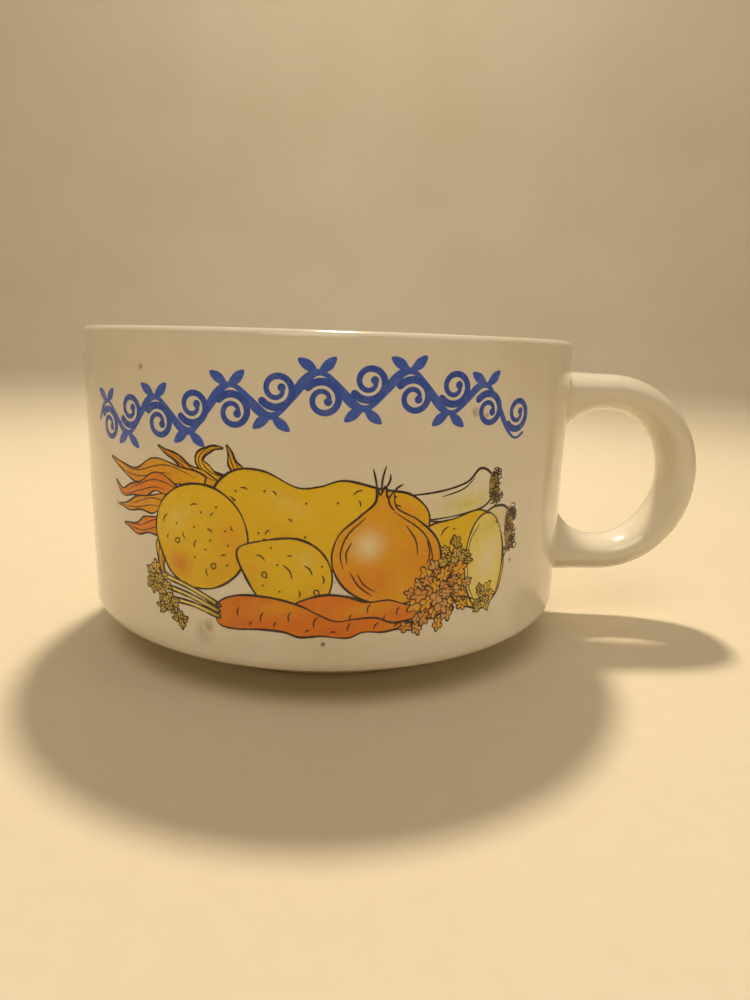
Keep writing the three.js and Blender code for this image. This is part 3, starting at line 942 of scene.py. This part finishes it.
def cut_potato(art):
    """Half a potato: its skin, then the pale cut face."""
    art.shape(
        [(-48, 31.4), (-46.6, 36), (-41.4, 38.6), (-35, 41.6), (-29, 39.4), (-24.4, 32.4), (-23.8, 25.4),
         (-27.2, 21.2), (-33.6, 21.2), (-37.6, 23.2), (-42, 24.4), (-46, 27.4)],
        airbrush(GOLD, ((-38, 25), (8, 7), ORANGE, 0.9), ((-44, 30), (6, 8), AMBER, 0.5),
            ((-45, 35), (3, 3), CREAM, 0.5)),
        ticks((-42.6, 35.8, 2.4, 60), (-40.2, 34.2, 2.6, 80), (-41.4, 28.6, 3.0, -62),
            (-38.2, 25.4, 2.2, -58), (-44.6, 31, 1.2, 10)) + [[(-45, 26.4), (-41, 24), (-36, 22.6)]],
    )
    art.spots([(-43.8, 33.4), (-39.6, 31.6), (-42.2, 26.6), (-37.4, 27.8), (-40.6, 36.6)])
    face = [(-30.2 + 5.6 * math.cos(a) - 2.2 * math.sin(a), 31.1 + 10.3 * math.sin(a))
            for a in round_angles(16)]
    art.shape(
        face,
        airbrush(CREAM, ((-29.4, 32), (5, 9), PALE, 1.0), ((-30.6, 38.6), (6, 4), LIME, 0.4),
            ((-28, 23), (5, 4), GOLD, 0.6)),
        width=INK_WIDTH * 0.8,
    )
    art.lines(
        [[(-34.4, 38.6), (-35.6, 35), (-35, 31)], [(-34.6, 29.6), (-33, 25.6), (-30.6, 22.8)]],
        INK_WIDTH * 0.6,
    )


def potatoes(material):
    art = Print()
    for draw, pivot, place, turn in (
        (long_potato, (-8, 34), (-2, 42.5), -32),
        (round_potato, (15, 41), (-27, 37), 40),
        (small_potato, (-12, 45.5), (-8, 31), -60),
        (cut_potato, (-36, 31), (29, 33), -15),
    ):
        art.at(pivot, place, turn)
        draw(art)
    art.finish("print_potatoes", material)


def carrots(material):
    art = Print(*CARROT_PLACE)
    art.shape(
        [(-24.6, 19.6), (-23.4, 20.7), (-20.4, 21.4), (-17.8, 22.8), (-14.4, 23.4), (-10.6, 25.4), (-6, 26),
         (-2, 28), (3, 29), (9, 27.4), (9, 22.4), (0, 21.8), (-6, 20.9), (-11, 20.3), (-16.4, 20), (-19, 19),
         (-21.4, 19.3), (-23.2, 18.6)],
        airbrush(CARROT, ((-6, 24.6), (12, 3), AMBER, 0.85), ((-21, 19.6), (5, 2), RED_BLUSH, 0.5),
            ((4, 25), (6, 4), ORANGE, 0.6)),
        ticks((-16.6, 21.6, 1.5, -60), (-12.2, 22.6, 1.9, -65), (-6.4, 24.6, 2.1, -60),
            (-9.2, 21.8, 1.3, -70), (-19.8, 20.3, 1.1, -40), (-21.8, 19.9, 1.4, 10), (-2.4, 23.4, 1.4, -70)),
    )
    art.shape(
        [(-15, 18.9), (-13.4, 20), (-10.4, 20.5), (-7.4, 22.3), (-3.4, 22.9), (0.6, 23.1), (4, 25.2),
         (7.4, 27.6), (12.6, 29.8), (19, 30.9), (23.6, 30), (25.2, 27.6), (24.8, 25), (21.4, 23.9),
         (16, 23.4), (11.4, 22.4), (8.4, 20.9), (4, 20.5), (-1, 19.2), (-4.4, 19.8), (-8.4, 18.9),
         (-11.6, 18.8), (-13.4, 18)],
        airbrush(CARROT, ((12, 27.6), (11, 3), AMBER, 0.9), ((2, 20.8), (8, 2.2), RED_BLUSH, 0.6),
            ((20, 24.8), (6, 2), RED_BLUSH, 0.45), ((-10, 19.6), (4, 1.6), AMBER, 0.6),
            ((23, 28), (3, 4), ORANGE, 0.7)),
        ticks((-7.2, 20.6, 1.6, -50), (-1.8, 21.4, 1.9, -65), (4.6, 23.6, 2.5, -60), (9.6, 25.4, 2.1, -70),
            (15.2, 26, 2.3, -65), (20, 27.4, 2.1, -75), (12.8, 24.2, 1.3, -60), (1.6, 20.9, 1.2, 10),
            (-11.4, 19.7, 1.2, -30), (17.8, 24.8, 1.1, -50), (6.6, 22, 1.0, -20)),
    )
    art.finish("print_carrots", material)


def frilled_leaf(centre, size, turn):
    """A small frilled leaf: blunt lobes with sharp notches between them, none quite alike."""
    lobes = dice.choice((4, 5, 5, 6))
    reaches = [dice.uniform(0.75, 1.25) for _ in range(lobes)]
    loop = []
    for a in round_angles(8 * lobes):
        lobe = round(a * lobes / (2 * math.pi)) % lobes
        reach = size * (0.55 + 0.6 * reaches[lobe] * abs(math.cos(a * lobes / 2)) ** 0.8)
        along, across = 1.1 * reach * math.cos(a), 0.8 * reach * math.sin(a)
        loop.append((centre[0] + along * math.cos(turn) - across * math.sin(turn),
                     centre[1] + along * math.sin(turn) + across * math.cos(turn)))
    return np.array(loop)


def sprig(art, centre, rings, tones):
    """A head of frilled leaves, painted from the outside in, each with a vein."""
    for count, away, size in rings:
        for k in (*range(0, count, 2), *range(1, count, 2)):
            angle = 2 * math.pi * (k + dice.uniform(-0.3, 0.3)) / count
            place = (centre[0] + away * math.cos(angle) * dice.uniform(0.75, 1.2),
                     centre[1] + away * math.sin(angle) * dice.uniform(0.75, 1.2))
            reach = size * dice.uniform(0.8, 1.2)
            loop = frilled_leaf(place, reach, angle + dice.uniform(-0.6, 0.6))
            art.fill(loop, airbrush(dice.choice(tones), (place, (size, size), CREAM, 0.3)))
            art.outline(loop, INK_WIDTH * 0.6)
            art.lines(ticks((place[0], place[1], reach * 0.9, math.degrees(angle))), INK_WIDTH * 0.5)


def parsley(material):
    art = Print((2, 34), (25, 26), 0, True)
    yellow, rust = (OLIVE, GOLD, linear("#cdb040")), (AMBER, linear("#dba25c"), linear("#d98f3c"))
    sprig(art, (0.2, 41.2), ((7, 2.9, 1.15), (4, 1.1, 1.2)), yellow)
    sprig(art, (3.8, 34.6), ((13, 6.0, 1.45), (10, 3.7, 1.5), (5, 1.5, 1.5)), rust)
    sprig(art, (9.8, 28), ((3, 1.3, 1.1),), rust)
    sprig(art, (-8.2, 31.2), ((6, 2.5, 1.0), (2, 0.8, 1.0)), yellow)
    art.lines([[(-5.6, 31.4), (-3, 32.4), (-0.6, 32.8)], [(0.6, 38.8), (1.6, 37.4), (2.4, 36.4)]], INK_WIDTH)
    art.finish("print_parsley", material)


def carrot_tops(material):
    """Cut stalks running on from the carrots, with a frilled head."""
    art = Print(*CARROT_PLACE)
    for stalk in (((24.4, 29.2), (37, 35.6)), ((24.8, 28), (37.4, 33.4)), ((24.8, 26.8), (36, 30.6))):
        low, high = np.array(stalk)
        side = 0.42 * directions([low, high])[1][0]
        bend = (low + high) / 2 + side * 1.4
        loop = [low - side, low + side, bend + side, high + side, high - side, bend - side]
        art.shape(loop, airbrush(CREAM, (low, (7, 7), OLIVE, 0.9)), width=INK_WIDTH * 0.8)
    art.spots([(24.6, 28.6), (24.7, 27.4), (24.5, 29.4)], 0.4)
    tones = (OLIVE, linear("#c9ab36"), linear("#d8b64c"))
    sprig(art, (39.4, 34.4), ((7, 2.6, 1.25), (3, 1.0, 1.2)), tones)
    sprig(art, (37.4, 29.4), ((6, 1.9, 1.1), (3, 0.7, 1.1)), tones)
    sprig(art, (34.4, 26), ((4, 1.1, 0.9),), tones)
    art.finish("print_carrot_tops", material)


# ---- Studio ----

VIEW_TURN = math.radians(3)  # how far the camera stands to the handle's side of square-on
VIEW_DISTANCE = 192.6
VIEW_HEIGHT = 75.6
VIEW_YAW = 0.0656
VIEW_PITCH = 0.2192
VIEW_ROLL = 0.0319
LENS = 25.07
SENSOR = 36.0

FLOOR_REACH = 1.6
FLOOR_BEND = 0.8
BACKDROP_TOP = 2.2
FLOOR_SEGMENTS = 96
MUG_MIDDLE = Vector((AXIS_X, 0, HEIGHT / 2)) * MM
BACKDROP_MIDDLE = Vector((0, 2.2, 0.8))
WARM_WHITE = (1.0, 0.88, 0.69)


def add_camera():
    data = bpy.data.cameras.new("camera")
    data.sensor_width = SENSOR
    data.lens = LENS
    data.clip_start = 0.005
    camera = bpy.data.objects.new("camera", data)
    bpy.context.scene.collection.objects.link(camera)
    place = Vector((
        AXIS_X + VIEW_DISTANCE * math.sin(VIEW_TURN),
        -VIEW_DISTANCE * math.cos(VIEW_TURN),
        VIEW_HEIGHT,
    )) * MM
    camera.matrix_world = (
        Matrix.Translation(place)
        @ Matrix.Rotation(VIEW_TURN - VIEW_YAW, 4, "Z")
        @ Matrix.Rotation(QUARTER - VIEW_PITCH, 4, "X")
        @ Matrix.Rotation(VIEW_ROLL, 4, "Z")
    )
    bpy.context.scene.camera = camera


def add_floor():
    """A pale round floor that curves up far out into a low wall, so that no edge shows."""
    bend = [(FLOOR_REACH + FLOOR_BEND * math.sin(a), FLOOR_BEND * (1 - math.cos(a)))
            for a in np.linspace(0, QUARTER, 24)]
    points, rings = [(0.0, 0.0, 0.0)], [(0, 1)]
    outline = ((0.2, 0.0), (0.5, 0.0), (1.0, 0.0), *bend, (FLOOR_REACH + FLOOR_BEND, BACKDROP_TOP))
    for radius, height in outline:
        rings.append((len(points), FLOOR_SEGMENTS))
        points += [(radius * math.cos(a), radius * math.sin(a), height) for a in round_angles(FLOOR_SEGMENTS)]
    faces = [face[::-1] for face in lathe_faces(rings, FLOOR_SEGMENTS, False)]
    mesh = bpy.data.meshes.new("floor")
    mesh.from_pydata(points, [], faces)
    mesh.shade_smooth()
    mesh.materials.append(floor_material())
    floor = bpy.data.objects.new("floor", mesh)
    bpy.context.scene.collection.objects.link(floor)


def add_light(name, azimuth, elevation, distance, size, power, colour, target=MUG_MIDDLE):
    """A soft round light aimed at a target, placed from it by angles in degrees and metres."""
    data = bpy.data.lights.new(name, "AREA")
    data.shape = "DISK"
    data.size = size
    data.energy = power
    data.color = colour
    light = bpy.data.objects.new(name, data)
    turn, lift = math.radians(azimuth), math.radians(elevation)
    way = Vector((math.cos(turn) * math.cos(lift), math.sin(turn) * math.cos(lift), math.sin(lift)))
    light.location = target + way * distance
    light.rotation_euler = (-way).to_track_quat("-Z", "Y").to_euler()
    bpy.context.scene.collection.objects.link(light)


def add_studio_light():
    add_light("key", 91, 68, 0.80, 0.08, 5.3, (1.0, 0.86, 0.63))
    add_light("front_fill", -100, 56, 1.5, 0.9, 5.4, WARM_WHITE)
    add_light("side_fill", -25, 45, 1.6, 1.0, 1.1, WARM_WHITE)
    add_light("backdrop_light", -90, 42, 1.3, 1.2, 9.0, (1.0, 0.90, 0.74), BACKDROP_MIDDLE)
    world = bpy.data.worlds.new("studio")
    world.use_nodes = True
    background = world.node_tree.nodes["Background"]
    background.inputs["Color"].default_value = (1.0, 0.90, 0.73, 1.0)
    background.inputs["Strength"].default_value = 0.195
    bpy.context.scene.world = world
    bpy.context.scene.view_settings.view_transform = "Standard"


# ---- Everything ----


def main():
    add_camera()
    add_floor()
    add_studio_light()

    clay = clay_material("fired_clay", linear("#dccbab"))
    glaze = glaze_material("cream_glaze", linear("#ece5d6"), 0.035)
    enamel = enamel_material("fired_enamel")
    for node in ("handle", "upper_handle_joint", "lower_handle_joint"):
        for material_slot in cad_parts[node].material_slots:
            material_slot.material = clay

    clay_cup(clay)
    glaze_coat("outside_glaze_coat", outside_outline(), glaze, "outside_glaze")
    glaze_coat("inside_glaze_coat", inside_outline(), glaze, "inside_glaze")
    glaze_coat("base_glaze_coat", recess_outline(), glaze, "base_glaze")
    handle_coat(glaze)

    scroll_print(enamel)
    for draw in (leeks, leek_leaves, potatoes, onion, carrots, carrot_tops, parsley):
        draw(enamel)


main()
